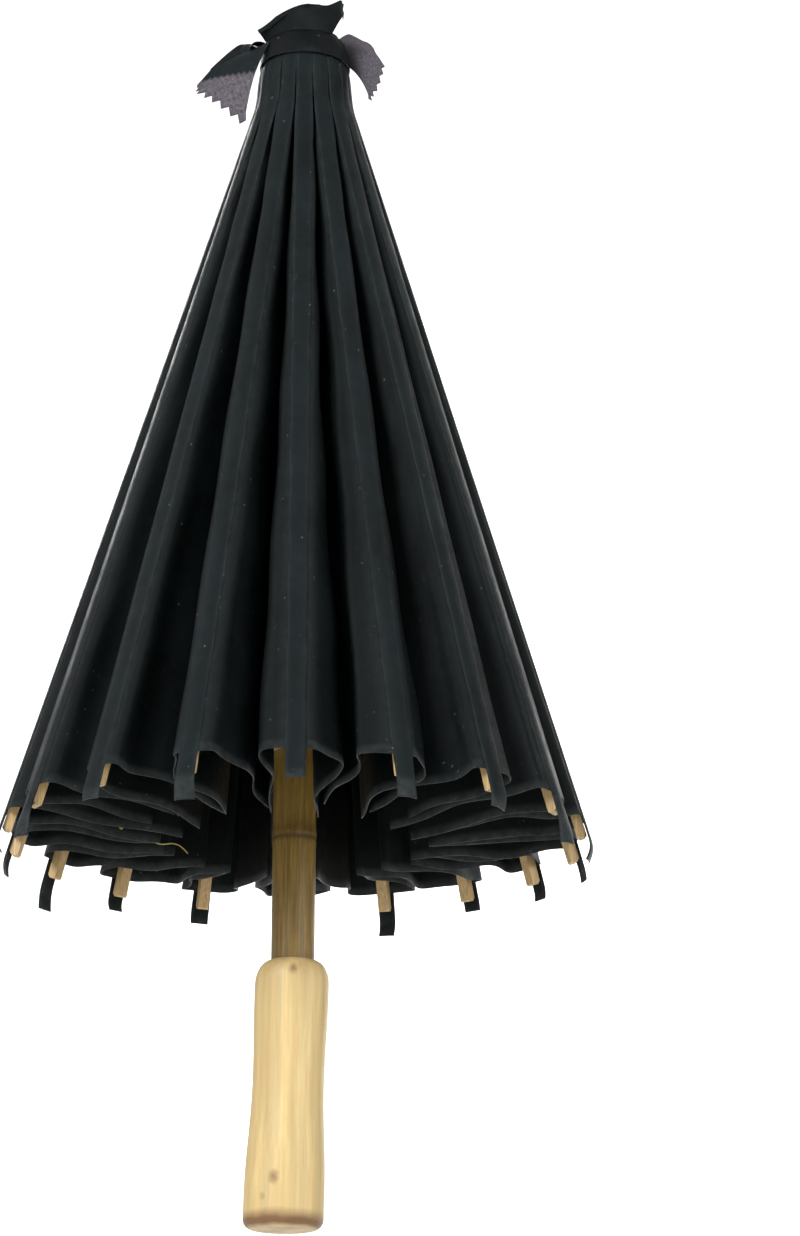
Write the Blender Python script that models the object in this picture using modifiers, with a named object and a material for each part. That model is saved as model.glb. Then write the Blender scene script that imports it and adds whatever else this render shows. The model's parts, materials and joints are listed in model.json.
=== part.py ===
"""Oil paper umbrella, half closed: pine handle, bamboo pole, slotted top notch and runner,
bamboo ribs and stretchers, one folded cloth panel beside each rib, a head cloth and a stop pin.

The origin is the centre of the handle's lower end, +Z runs up along the pole. Metres.
"""
import math

import bmesh
import bpy
from mathutils import Matrix, Vector

# Driving dimensions
RIB_COUNT = 18
RIB_ANGLE = math.radians(16.6)  # each rib from the downward pole direction, half closed
RIB_LENGTH = 0.420  # pivot to tip
RIB_WIDTH = 0.0054
RIB_FACE = 0.0010  # outer face above the pivot line
RIB_DEPTH = 0.0045
BLADE_WIDTH = 0.0022  # thinned ends that turn in the slots
RIB_BLADE = 0.024  # length of a rib's thinned end
RIB_NECK = (0.006, 0.016)  # where the outer and the inner face start, down the rib
RIB_TIP_BEVEL = 0.0015
RIB_SLOT = (0.009, 0.013)  # slot for the stretcher, above and below its joint
RIB_SLOT_ROOF = 0.0006  # left over the slot
SLOT_WIDTH = 0.0028
NOTCH_PIVOT_RADIUS = 0.015
NOTCH_PIVOT_HEIGHT = 0.579
RUNNER_PIVOT_RADIUS = 0.0148
STRETCHER_JOINT = 0.165  # along the rib from the notch pivot
STRETCHER_JOINT_DEPTH = 0.0015  # inside the pivot line
STRETCHER_LENGTH = 0.175
STRETCHER_WIDTH = 0.0035
STRETCHER_HEIGHT = 0.0038
PIVOT_END_RADIUS = 0.0015
STRETCHER_NECK = 0.012  # where a stretcher reaches its full height
STRETCHER_BLADE = 0.016  # length of its thinned end in the rib
RUNNER_BLADE = 0.020  # length of its thinned end in the runner

HANDLE_LENGTH = 0.122
HANDLE_TOP_RADIUS = 0.0172
HANDLE_WAIST_RADIUS = 0.0163
HANDLE_FOOT_RADIUS = 0.0182
HANDLE_DOME = 0.011  # height of the rounded shoulder
HANDLE_FOOT_ROUND = 0.0035
HANDLE_FLARE = (0.006, 0.012)  # heights between which the foot is at its widest
SOCKET_DEPTH = 0.040
POLE_RADIUS = 0.0100
POLE_NODE_HEIGHT = 0.181
POLE_NODE_BULGE = 0.0006
POLE_NODE_REACH = 0.006  # from the node's middle to where its swelling ends
POLE_TOP = 0.591
FIT_GAP = 0.0003
RUNNER_PLAY = 0.0004
TURNED_EDGE = 0.0015  # bevel of the notch and the runner
CUT_PAST = 0.002  # how far a cutter runs past what it cuts

NOTCH_RADIUS = 0.0185
NOTCH_BELOW = 0.008
NOTCH_ABOVE = 0.008
NOTCH_SLOT_TOP = 0.0045
NOTCH_SLOT_FLOOR = 0.0122

RUNNER_RADIUS = 0.0185
RUNNER_SLEEVE_RADIUS = 0.0117
RUNNER_SLOT_FLOOR = 0.0119
RUNNER_ABOVE = 0.012
RUNNER_BELOW = 0.012
RUNNER_SLEEVE_END = 0.030

PANEL_ANGLE = math.radians(8.0)  # each cloth panel from the rib's inner side
PANEL_START = 0.040  # along the rib from the notch pivot
PANEL_END = 0.412
PANEL_MARGIN = 0.001  # short of the valley
PANEL_CLEAR = 0.0070  # below the rib's outer face, so the panel passes the rib
PANEL_OFFSET = 0.0026
PANEL_THICKNESS = 0.0009
FOLD_AT_TOP = 0.0035  # pleat depth at the notch pivot
FOLD_GROWTH = 0.1723  # pleat depth gained along the rib

PIN_RADIUS = 0.0015
PIN_LENGTH = 0.0094
PIN_HEIGHT = 0.4425  # just below the sleeve of the runner when the umbrella is open

CAP_HEIGHT = 0.018
CAP_RADIUS = 0.020
CAP_HEADROOM = 0.001  # over the pole's top

OBJECT_NAME = "oil_paper_umbrella"


def clear_scene():
    for old in list(bpy.data.objects):
        bpy.data.objects.remove(old, do_unlink=True)


def make_collection(name):
    made = bpy.data.collections.new(name)
    bpy.context.scene.collection.children.link(made)
    return made


def make_material(name, colour, roughness):
    made = bpy.data.materials.new(name)
    made.use_nodes = True
    shader = made.node_tree.nodes["Principled BSDF"]
    shader.inputs["Base Color"].default_value = (*colour, 1.0)
    shader.inputs["Roughness"].default_value = roughness
    shader.inputs["Metallic"].default_value = 0.0
    return made


def place(name, mesh, collection, material, matrix):
    """One part from a finished mesh; several parts may share the mesh."""
    made = bpy.data.objects.new(name, mesh)
    collection.objects.link(made)
    if not mesh.materials:
        mesh.materials.append(material)
    made.matrix_world = matrix
    return made


def finished_mesh(source):
    """The evaluated, welded mesh of a modelled object, which is then removed."""
    bpy.context.view_layer.update()
    graph = bpy.context.evaluated_depsgraph_get()
    mesh = bpy.data.meshes.new_from_object(source.evaluated_get(graph))
    mesh.transform(source.matrix_world)
    work = bmesh.new()
    work.from_mesh(mesh)
    bmesh.ops.remove_doubles(work, verts=work.verts, dist=0.00001)
    work.to_mesh(mesh)
    work.free()
    bpy.data.objects.remove(source, do_unlink=True)
    return mesh


def turned(name, profile, collection, steps):
    """A Screw of (radius, height) points that run down the outer side."""
    mesh = bpy.data.meshes.new(name)
    points = [(radius, 0.0, height) for radius, height in profile]
    mesh.from_pydata(points, [(k, k + 1) for k in range(len(points) - 1)], [])
    made = bpy.data.objects.new(name, mesh)
    collection.objects.link(made)
    screw = made.modifiers.new("turn", "SCREW")
    screw.steps = steps
    screw.render_steps = steps
    screw.use_merge_vertices = True
    screw.merge_threshold = 0.00005
    return made


def outline_solid(name, points, thickness, collection):
    """A flat outline of (outward, down) points in the XZ plane with its thickness along Y."""
    curve = bpy.data.curves.new(name, "CURVE")
    curve.dimensions = "2D"
    curve.fill_mode = "BOTH"
    curve.extrude = thickness / 2
    spline = curve.splines.new("POLY")
    spline.points.add(len(points) - 1)
    for point, (outward, down) in zip(spline.points, points):
        point.co = (outward, -down, 0.0, 1.0)
    spline.use_cyclic_u = True
    made = bpy.data.objects.new(name, curve)
    collection.objects.link(made)
    made.matrix_world = Matrix.Rotation(math.pi / 2, 4, "X")
    mesh = finished_mesh(made)
    solid = bpy.data.objects.new(name, mesh)
    collection.objects.link(solid)
    return solid


def boxes(name, spans, collection):
    """One cutter made of separate boxes, each given by its low and high corner and a turn about Z."""
    work = bmesh.new()
    for low, high, turn in spans:
        size = [b - a for a, b in zip(low, high)]
        middle = Vector([(a + b) / 2 for a, b in zip(low, high)])
        matrix = Matrix.Rotation(turn, 4, "Z") @ Matrix.Translation(middle)
        bmesh.ops.create_cube(work, size=1.0, matrix=matrix @ Matrix.Diagonal((*size, 1.0)))
    mesh = bpy.data.meshes.new(name)
    work.to_mesh(mesh)
    work.free()
    made = bpy.data.objects.new(name, mesh)
    collection.objects.link(made)
    made.hide_render = True
    made.display_type = "WIRE"
    return made


def cut(target, cutter):
    boolean = target.modifiers.new(cutter.name, "BOOLEAN")
    boolean.operation = "DIFFERENCE"
    boolean.solver = "EXACT"
    boolean.object = cutter


def radial_slots(name, inner, outer, low, high, width, collection):
    spans = [
        ((inner, -width / 2, low), (outer, width / 2, high), k * math.tau / RIB_COUNT)
        for k in range(RIB_COUNT)
    ]
    return boxes(name, spans, collection)


def round_end(radius, count=6):
    """Points of a half circle that turns over a strip's end, from the outer to the inner side."""
    angles = [math.pi * k / count for k in range(count + 1)]
    return [(radius * math.cos(a), -radius * math.sin(a)) for a in angles]


def make_handle(parts, material):
    """A turned grip with a domed shoulder, a slight waist and a socket for the pole."""
    top = HANDLE_LENGTH
    socket = POLE_RADIUS + FIT_GAP
    profile = [(0.0, top - SOCKET_DEPTH), (socket, top - SOCKET_DEPTH), (socket, top)]
    for k in range(1, 7):
        a = math.pi / 2 * k / 6
        radius = socket + (HANDLE_TOP_RADIUS - socket) * math.sin(a)
        profile.append((radius, top - HANDLE_DOME * (1 - math.cos(a))))
    profile += [
        (HANDLE_WAIST_RADIUS, top * 0.55),
        (HANDLE_WAIST_RADIUS * 1.03, top * 0.30),
        (HANDLE_FOOT_RADIUS, HANDLE_FLARE[1]),
        (HANDLE_FOOT_RADIUS, HANDLE_FLARE[0]),
    ]
    foot = HANDLE_FOOT_ROUND
    for k in range(5):
        a = math.pi / 2 * k / 4
        profile.append((HANDLE_FOOT_RADIUS - foot * (1 - math.cos(a)), foot * (1 - math.sin(a))))
    profile.append((0.0, 0.0))
    mesh = finished_mesh(turned("handle_turning", profile, parts, 32))
    place("handle", mesh, parts, material, Matrix.Identity(4)).data.shade_smooth()


def make_pole(parts, cutters, material):
    """A bamboo shaft with one node ring, bored sideways for the stop pin."""
    ring = POLE_RADIUS + POLE_NODE_BULGE
    profile = [
        (0.0, POLE_TOP),
        (POLE_RADIUS, POLE_TOP),
        (POLE_RADIUS, POLE_NODE_HEIGHT + POLE_NODE_REACH),
        (ring, POLE_NODE_HEIGHT + POLE_NODE_REACH / 6),
        (ring, POLE_NODE_HEIGHT - POLE_NODE_REACH / 6),
        (POLE_RADIUS, POLE_NODE_HEIGHT - POLE_NODE_REACH),
        (POLE_RADIUS, HANDLE_LENGTH - SOCKET_DEPTH + FIT_GAP),
        (0.0, HANDLE_LENGTH - SOCKET_DEPTH + FIT_GAP),
    ]
    shaft = turned("pole_turning", profile, parts, 32)
    drill = turned_pin("pin_hole", PIN_RADIUS + FIT_GAP, 0.0, POLE_RADIUS + CUT_PAST, cutters)
    drill.hide_render = True
    drill.display_type = "WIRE"
    cut(shaft, drill)
    place("pole", finished_mesh(shaft), parts, material, Matrix.Identity(4))


def turned_pin(name, radius, near, far, collection):
    """A round pin along +X at the pin height, from x = near to x = far."""
    work = bmesh.new()
    middle = Matrix.Translation(((near + far) / 2, 0.0, PIN_HEIGHT))
    turn = Matrix.Rotation(math.pi / 2, 4, "Y")
    bmesh.ops.create_cone(
        work, cap_ends=True, segments=16, radius1=radius, radius2=radius,
        depth=far - near, matrix=middle @ turn,
    )
    mesh = bpy.data.meshes.new(name)
    work.to_mesh(mesh)
    work.free()
    made = bpy.data.objects.new(name, mesh)
    collection.objects.link(made)
    return made


def make_stop_pin(parts, material):
    near = POLE_RADIUS - FIT_GAP / 3 - PIN_LENGTH
    mesh = finished_mesh(turned_pin("pin_turning", PIN_RADIUS, near, near + PIN_LENGTH, parts))
    centre = Matrix.Translation((0.0, 0.0, PIN_HEIGHT))
    mesh.transform(centre.inverted())
    place("stop_pin", mesh, parts, material, centre)


def make_notch(parts, cutters, material):
    """The slotted head that the long ribs turn in."""
    base = NOTCH_PIVOT_HEIGHT
    bore = POLE_RADIUS + FIT_GAP
    edge = TURNED_EDGE
    profile = [
        (bore, base + NOTCH_ABOVE),
        (NOTCH_RADIUS - 3 * edge, base + NOTCH_ABOVE),
        (NOTCH_RADIUS, base + NOTCH_ABOVE - 2 * edge),
        (NOTCH_RADIUS, base - NOTCH_BELOW + edge),
        (NOTCH_RADIUS - edge, base - NOTCH_BELOW),
        (bore, base - NOTCH_BELOW),
        (bore, base + NOTCH_ABOVE),
    ]
    body = turned("notch_turning", profile, parts, 36)
    slots = radial_slots("notch_slots", NOTCH_SLOT_FLOOR, NOTCH_RADIUS * 1.3,
                         base - NOTCH_BELOW - CUT_PAST, base + NOTCH_SLOT_TOP, SLOT_WIDTH, cutters)
    cut(body, slots)
    place("top_notch", finished_mesh(body), parts, material, Matrix.Identity(4))


def stretcher_lean():
    """The stretcher's angle from the pole, and its runner pivot's height, at the rib's angle."""
    radius, height = stretcher_top()
    lean = math.asin((radius - RUNNER_PIVOT_RADIUS) / STRETCHER_LENGTH)
    return lean, height - STRETCHER_LENGTH * math.cos(lean)


def stretcher_top():
    """Radius and height of the joint between rib and stretcher."""
    sine, cosine = math.sin(RIB_ANGLE), math.cos(RIB_ANGLE)
    radius = NOTCH_PIVOT_RADIUS + STRETCHER_JOINT * sine - STRETCHER_JOINT_DEPTH * cosine
    height = NOTCH_PIVOT_HEIGHT - STRETCHER_JOINT * cosine - STRETCHER_JOINT_DEPTH * sine
    return radius, height


def make_runner(parts, cutters, material):
    """The slider: a slotted ring for the stretchers above a thin sleeve."""
    base = stretcher_lean()[1]
    bore = POLE_RADIUS + RUNNER_PLAY
    edge = TURNED_EDGE
    profile = [
        (bore, base + RUNNER_ABOVE),
        (RUNNER_RADIUS - edge, base + RUNNER_ABOVE),
        (RUNNER_RADIUS, base + RUNNER_ABOVE - edge),
        (RUNNER_RADIUS, base - RUNNER_BELOW + edge),
        (RUNNER_RADIUS - edge, base - RUNNER_BELOW),
        (RUNNER_SLEEVE_RADIUS, base - RUNNER_BELOW),
        (RUNNER_SLEEVE_RADIUS, base - RUNNER_SLEEVE_END),
        (bore, base - RUNNER_SLEEVE_END),
        (bore, base + RUNNER_ABOVE),
    ]
    body = turned("runner_turning", profile, parts, 36)
    slots = radial_slots("runner_slots", RUNNER_SLOT_FLOOR, RUNNER_RADIUS * 1.3,
                         base - RUNNER_BELOW - CUT_PAST, base + RUNNER_ABOVE + CUT_PAST,
                         SLOT_WIDTH, cutters)
    cut(body, slots)
    mesh = finished_mesh(body)
    centre = Matrix.Translation((0.0, 0.0, base))
    mesh.transform(centre.inverted())
    place("runner", mesh, parts, material, centre)


def cheeks(name, width, start, end, collection):
    """Cutter boxes that thin a strip to a blade between two distances down its length."""
    wide = 2 * RIB_WIDTH
    spans = []
    for side in (-1, 1):
        across = sorted((side * width / 2, side * wide))
        spans.append(((-wide, across[0], -end), (wide, across[1], -start), 0.0))
    return boxes(name, spans, collection)


def rib_mesh(parts, cutters):
    """A strip with a rounded pivot blade, a tapered neck and a slot for the stretcher."""
    inner = RIB_FACE - RIB_DEPTH
    tip = RIB_TIP_BEVEL
    outline = [
        (RIB_FACE, RIB_NECK[0]),
        (RIB_FACE, RIB_LENGTH - tip),
        (RIB_FACE - tip, RIB_LENGTH),
        (inner + tip / 2, RIB_LENGTH),
        (inner, RIB_LENGTH - tip / 2),
        (inner, RIB_NECK[1]),
    ]
    outline += list(reversed(round_end(PIVOT_END_RADIUS)))
    strip = outline_solid("rib_strip", outline, RIB_WIDTH, parts)
    cut(strip, cheeks("rib_cheeks", BLADE_WIDTH, -RIB_WIDTH, RIB_BLADE, cutters))
    slot = boxes("rib_slot", [(
        (inner - CUT_PAST, -SLOT_WIDTH / 2, -STRETCHER_JOINT - RIB_SLOT[1]),
        (RIB_FACE - RIB_SLOT_ROOF, SLOT_WIDTH / 2, -STRETCHER_JOINT + RIB_SLOT[0]), 0.0)], cutters)
    cut(strip, slot)
    return finished_mesh(strip)


def stretcher_mesh(parts, cutters):
    """A strip from its rib joint at the origin to its runner pivot, thinned at both ends."""
    half = STRETCHER_HEIGHT / 2
    upper = round_end(PIVOT_END_RADIUS)
    lower = [(-x, STRETCHER_LENGTH - z) for x, z in round_end(PIVOT_END_RADIUS)]
    neck = STRETCHER_NECK
    outline = list(reversed(upper))[:-1] + [(PIVOT_END_RADIUS, neck * 0.6), (half, neck)]
    outline += [(half, STRETCHER_LENGTH - neck)] + list(reversed(lower))
    outline += [(-half, STRETCHER_LENGTH - neck), (-half, neck), (-PIVOT_END_RADIUS, neck * 0.6)]
    strip = outline_solid("stretcher_strip", outline, STRETCHER_WIDTH, parts)
    cut(strip, cheeks("stretcher_top_cheeks", BLADE_WIDTH, -RIB_WIDTH, STRETCHER_BLADE,
                      cutters))
    cut(strip, cheeks("stretcher_end_cheeks", BLADE_WIDTH, STRETCHER_LENGTH - RUNNER_BLADE,
                      STRETCHER_LENGTH + RIB_WIDTH, cutters))
    return finished_mesh(strip)


def fold_depth(down):
    """How deep a pleat hangs below the rib's outer face, at a distance down the rib."""
    return FOLD_AT_TOP + FOLD_GROWTH * down


def panel_mesh(parts):
    """The folded cloth beside one rib; its hinge line, the rib's ridge, is local Z."""
    outline = [(-PANEL_CLEAR, PANEL_START), (-PANEL_CLEAR, PANEL_END)]
    outline += [(PANEL_MARGIN - fold_depth(s), s) for s in (PANEL_END, PANEL_START)]
    plate = outline_solid("panel_plate", list(reversed(outline)), PANEL_THICKNESS, parts)
    plate.matrix_world = Matrix.Translation((0.0, PANEL_OFFSET, 0.0))
    return finished_mesh(plate)


def outward_mesh(mesh):
    """Turns every face of a closed mesh to point out."""
    work = bmesh.new()
    work.from_mesh(mesh)
    bmesh.ops.recalc_face_normals(work, faces=work.faces)
    work.to_mesh(mesh)
    work.free()
    return mesh


def make_frame_strips(parts, cutters, bamboo, cloth):
    """All ribs, stretchers and cloth panels, each turned to its place round the pole."""
    rib = outward_mesh(rib_mesh(parts, cutters))
    stretcher = outward_mesh(stretcher_mesh(parts, cutters))
    panel = outward_mesh(panel_mesh(parts))
    lean = stretcher_lean()[0]
    radius, height = stretcher_top()
    pivot = Matrix.Translation((NOTCH_PIVOT_RADIUS, 0.0, NOTCH_PIVOT_HEIGHT))
    opened = Matrix.Rotation(-RIB_ANGLE, 4, "Y")
    joint = Matrix.Translation((radius, 0.0, height))
    ridge = Matrix.Translation((RIB_FACE, 0.0, 0.0)) @ Matrix.Rotation(-PANEL_ANGLE, 4, "Z")
    for k in range(RIB_COUNT):
        turn = Matrix.Rotation(k * math.tau / RIB_COUNT, 4, "Z")
        label = f"{k + 1:02d}"
        place("rib_" + label, rib, parts, bamboo, turn @ pivot @ opened)
        lying = turn @ joint @ Matrix.Rotation(lean, 4, "Y")
        place("stretcher_" + label, stretcher, parts, bamboo, lying)
        place("canopy_panel_" + label, panel, parts, cloth, turn @ pivot @ opened @ ridge)


def make_cap_cloth(parts, material):
    """The head cloth as a hollow puffed cap over the pole's top, open below."""
    base = NOTCH_PIVOT_HEIGHT + NOTCH_ABOVE + FIT_GAP
    bore = POLE_RADIUS + FIT_GAP
    profile = [
        (0.0, base + CAP_HEIGHT),
        (CAP_RADIUS * 0.5, base + CAP_HEIGHT * 0.92),
        (CAP_RADIUS * 0.9, base + CAP_HEIGHT * 0.56),
        (CAP_RADIUS, base + CAP_HEIGHT * 0.28),
        (CAP_RADIUS * 0.9, base),
        (bore, base),
        (bore, POLE_TOP + CAP_HEADROOM),
        (0.0, POLE_TOP + CAP_HEADROOM),
    ]
    mesh = finished_mesh(turned("cap_turning", profile, parts, 24))
    place("cap_cloth", mesh, parts, material, Matrix.Identity(4)).data.shade_smooth()


def main():
    clear_scene()
    parts = make_collection(OBJECT_NAME)
    cutters = make_collection("cutters")
    pine = make_material("pine", (0.74, 0.53, 0.30), 0.45)
    bamboo = make_material("bamboo", (0.42, 0.22, 0.08), 0.40)
    pale_bamboo = make_material("pale_bamboo", (0.60, 0.42, 0.20), 0.50)
    turned_wood = make_material("turned_wood", (0.36, 0.22, 0.11), 0.55)
    cloth = make_material("oiled_cloth", (0.015, 0.024, 0.027), 0.40)
    make_handle(parts, pine)
    make_pole(parts, cutters, bamboo)
    make_stop_pin(parts, turned_wood)
    make_notch(parts, cutters, turned_wood)
    make_runner(parts, cutters, turned_wood)
    make_frame_strips(parts, cutters, pale_bamboo, cloth)
    make_cap_cloth(parts, cloth)


main()
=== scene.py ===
"""Looks of the oil paper umbrella: pleated oiled cloth, cover strips, head cloth, threads,
pine handle and bamboo pole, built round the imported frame."""
import json
import math

import bpy
import numpy as np
from mathutils import Euler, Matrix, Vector

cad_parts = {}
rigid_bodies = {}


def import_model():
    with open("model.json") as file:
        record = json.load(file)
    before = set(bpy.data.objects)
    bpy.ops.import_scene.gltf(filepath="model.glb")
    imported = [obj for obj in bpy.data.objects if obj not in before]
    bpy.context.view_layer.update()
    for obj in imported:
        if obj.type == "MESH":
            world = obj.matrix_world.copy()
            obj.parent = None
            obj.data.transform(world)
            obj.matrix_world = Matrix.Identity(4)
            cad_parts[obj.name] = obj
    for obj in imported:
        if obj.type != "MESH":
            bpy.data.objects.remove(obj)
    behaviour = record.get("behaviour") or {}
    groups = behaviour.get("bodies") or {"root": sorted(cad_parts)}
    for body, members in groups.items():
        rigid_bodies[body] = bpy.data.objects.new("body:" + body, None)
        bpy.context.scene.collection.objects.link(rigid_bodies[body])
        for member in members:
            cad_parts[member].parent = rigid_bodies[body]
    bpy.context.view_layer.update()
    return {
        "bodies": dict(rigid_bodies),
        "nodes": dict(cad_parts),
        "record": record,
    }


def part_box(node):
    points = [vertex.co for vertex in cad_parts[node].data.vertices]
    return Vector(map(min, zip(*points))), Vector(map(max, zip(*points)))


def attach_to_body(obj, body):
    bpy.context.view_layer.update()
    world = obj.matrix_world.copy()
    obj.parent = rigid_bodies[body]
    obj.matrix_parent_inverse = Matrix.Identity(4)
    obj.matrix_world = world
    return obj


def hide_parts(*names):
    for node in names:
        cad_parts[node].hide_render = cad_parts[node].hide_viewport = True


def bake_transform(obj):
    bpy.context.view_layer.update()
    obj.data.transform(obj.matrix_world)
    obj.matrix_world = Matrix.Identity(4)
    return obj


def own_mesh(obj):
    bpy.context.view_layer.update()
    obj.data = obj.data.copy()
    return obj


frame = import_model()

bl_info = {
    "name": "Oil Paper Umbrella",
    "version": (1, 0, 0),
    "blender": (4, 5, 0),
    "location": "3D View > Sidebar > Umbrella",
    "description": "Cloth, strips, threads, handle, pole and stage of an oil paper umbrella",
    "category": "Object",
}

# The frame's own facts
JOINTS = {joint["name"]: joint for joint in frame["record"]["behaviour"]["joints"]}
COUPLINGS = {c["joint"]: c["ratio"] for c in frame["record"]["behaviour"]["couplings"]}
RIBS = sorted(name[4:] for name in frame["bodies"] if name.startswith("rib_"))
RIB_STEP = math.tau / len(RIBS)
PIVOT_RADIUS = math.hypot(*JOINTS["rib_hinge_01"]["pos_m"][:2])
PIVOT_HEIGHT = JOINTS["rib_hinge_01"]["pos_m"][2]
RIDGE = JOINTS["panel_fold_01"]["axis"]
REST_LEAN = math.acos(-RIDGE[2])
TRAVEL = JOINTS["runner_slide"]["range_m"][1]
OPEN_LEAN = REST_LEAN + COUPLINGS["rib_hinge_01"] * TRAVEL
UNFOLD = COUPLINGS["panel_fold_01"] * TRAVEL
FACE = (JOINTS["panel_fold_01"]["pos_m"][0] - PIVOT_RADIUS) / math.cos(REST_LEAN)
RIB_TIP = (PIVOT_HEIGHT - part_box("rib_01")[0].z) / math.cos(REST_LEAN) - 0.001
HANDLE_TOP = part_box("handle")[1].z
POLE_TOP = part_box("pole")[1].z
NOTCH_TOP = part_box("top_notch")[1].z
ROOT = "pole_and_handle"


# ---------------------------------------------------------------- sizes and colours

class UmbrellaSizes(bpy.types.PropertyGroup):
    strip_width: bpy.props.FloatProperty(
        name="Strip width", description="Width of the cloth strip over each rib",
        default=0.0088, min=0.004, max=0.02, unit="LENGTH")
    cloth_thickness: bpy.props.FloatProperty(
        name="Cloth thickness", description="Thickness of the oiled cloth",
        default=0.0004, min=0.0001, max=0.002, unit="LENGTH")
    slack: bpy.props.FloatProperty(
        name="Pleat slack", description="How far a pleat's shoulders stand out near the rim",
        default=0.0125, min=0.0, max=0.016, unit="LENGTH")
    hem_rise: bpy.props.FloatProperty(
        name="Hem rise", description="How much higher the hem sits at a valley than at a rib",
        default=0.013, min=0.0, max=0.04, unit="LENGTH")
    tab_length: bpy.props.FloatProperty(
        name="Tab length", description="Length of the strip's tab past the rib's tip",
        default=0.013, min=0.0, max=0.04, unit="LENGTH")


class UmbrellaColours(bpy.types.PropertyGroup):
    cloth: bpy.props.FloatVectorProperty(
        name="Cloth", description="Colour of the oiled cloth", subtype="COLOR",
        size=3, min=0.0, max=1.0, default=(0.0026, 0.0046, 0.0050))
    # The lighter colour of wear on hems and edges, also used as painted light on the strips' shaded
    # tabs.
    wear_and_painted_light_colour: bpy.props.FloatVectorProperty(
        name="Worn_and_painted_light cloth", description="Colour of the cloth's rubbed edges", subtype="COLOR",
        size=3, min=0.0, max=1.0, default=(0.034, 0.041, 0.041))
    pine: bpy.props.FloatVectorProperty(
        name="Pine", description="Colour of the handle's wood", subtype="COLOR",
        size=3, min=0.0, max=1.0, default=(0.72, 0.57, 0.25))
    bamboo_skin: bpy.props.FloatVectorProperty(
        name="Bamboo skin", description="Colour of the varnished pole", subtype="COLOR",
        size=3, min=0.0, max=1.0, default=(0.27, 0.170, 0.038))
    split_bamboo: bpy.props.FloatVectorProperty(
        name="Split bamboo", description="Colour of ribs and stretchers", subtype="COLOR",
        size=3, min=0.0, max=1.0, default=(0.68, 0.47, 0.22))


def sizes():
    return bpy.context.scene.umbrella_sizes


def colours():
    return bpy.context.scene.umbrella_colours


# ---------------------------------------------------------------- meshes from grids

def grid_faces(rows, columns, wrap=False):
    """Quads between neighbouring rows and columns; wrap joins the last column to the first."""
    across = columns if wrap else columns - 1
    i, j = np.meshgrid(np.arange(rows - 1), np.arange(across), indexing="ij")
    k = (j + 1) % columns
    quads = np.stack([i * columns + j, (i + 1) * columns + j,
                      (i + 1) * columns + k, i * columns + k], -1)
    return quads.reshape(-1, 4)


def mesh_piece(name, points, faces, uv=None, flip=False):
    """A new object from vertex and quad arrays, with uv as one pair for each vertex."""
    points = np.asarray(points, np.float32).reshape(-1, 3)
    faces = np.asarray(faces, np.int32)
    if flip:
        faces = faces[:, ::-1]
    mesh = bpy.data.meshes.new(name)
    mesh.vertices.add(len(points))
    mesh.vertices.foreach_set("co", points.ravel())
    mesh.loops.add(faces.size)
    mesh.loops.foreach_set("vertex_index", faces.ravel())
    mesh.polygons.add(len(faces))
    mesh.polygons.foreach_set("loop_start", np.arange(len(faces), dtype=np.int32) * 4)
    mesh.polygons.foreach_set("use_smooth", np.ones(len(faces), bool))
    mesh.update(calc_edges=True)
    mesh.validate()
    if uv is not None:
        layer = mesh.uv_layers.new(name="cloth")
        pairs = np.asarray(uv, np.float32).reshape(-1, 2)
        layer.data.foreach_set("uv", pairs[faces.ravel()].ravel())
    made = bpy.data.objects.new(name, mesh)
    bpy.context.scene.collection.objects.link(made)
    return made


def paint(piece, name, values):
    """One number for each vertex, which a material reads by name."""
    attribute = piece.data.attributes.new(name, "FLOAT", "POINT")
    attribute.data.foreach_set("value", np.asarray(values, np.float32).ravel())


def thicken(piece, thickness, offset=0.0):
    solid = piece.modifiers.new("thickness", "SOLIDIFY")
    solid.thickness = thickness
    solid.offset = offset


def finish_piece(piece, body, material):
    piece.data.materials.append(material)
    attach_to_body(piece, body)
    return piece


def merge_ends(piece, distance=0.00002):
    """Welds the collapsed pole points of a turned piece."""
    weld = piece.modifiers.new("weld", "WELD")
    weld.merge_threshold = distance


def around(a, radius, height):
    """Points round the pole's axis: x = radius cos a, y = radius sin a, z = height."""
    return np.stack(np.broadcast_arrays(radius * np.cos(a), radius * np.sin(a), height), -1)


def turned_points(radius, height, segments, wobble):
    """Turns a profile, with wobble(height, angle) added to its radius."""
    a = np.arange(segments) * math.tau / segments
    return around(a, radius[:, None] + wobble(height[:, None], a[None, :]), height[:, None])


def tube_points(path, radius, sides, closed=False):
    """A round tube: circles of the given radius across the path, in turning-free frames."""
    path = np.asarray(path, float)
    ahead = np.roll(path, -1, 0) - np.roll(path, 1, 0)
    if not closed:
        ahead[0] = path[1] - path[0]
        ahead[-1] = path[-1] - path[-2]
    ahead /= np.linalg.norm(ahead, axis=1)[:, None]
    up = np.where(np.abs(ahead[:, 2:3]) > 0.9, [[1.0, 0.0, 0.0]], [[0.0, 0.0, 1.0]])
    side = np.cross(ahead, up)
    side /= np.linalg.norm(side, axis=1)[:, None]
    over = np.cross(side, ahead)
    a = np.arange(sides) * math.tau / sides
    ring = np.cos(a)[None, :, None] * side[:, None, :] + np.sin(a)[None, :, None] * over[:, None, :]
    return path[:, None, :] + radius * ring


def tube_piece(name, path, radius, along, closed=False):
    """A six-sided thread; along is each point's place on the thread's own map."""
    return mesh_piece(name, tube_points(path, radius, 6, closed),
                      grid_faces(len(path), 6, wrap=True),
                      np.stack(np.meshgrid(np.arange(6) / 6, along), -1))


# ---------------------------------------------------------------- node groups and materials

def socket(tree, name, kind, way, default=None):
    made = tree.interface.new_socket(name=name, in_out=way, socket_type=kind)
    if default is not None:
        made.default_value = default


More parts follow.
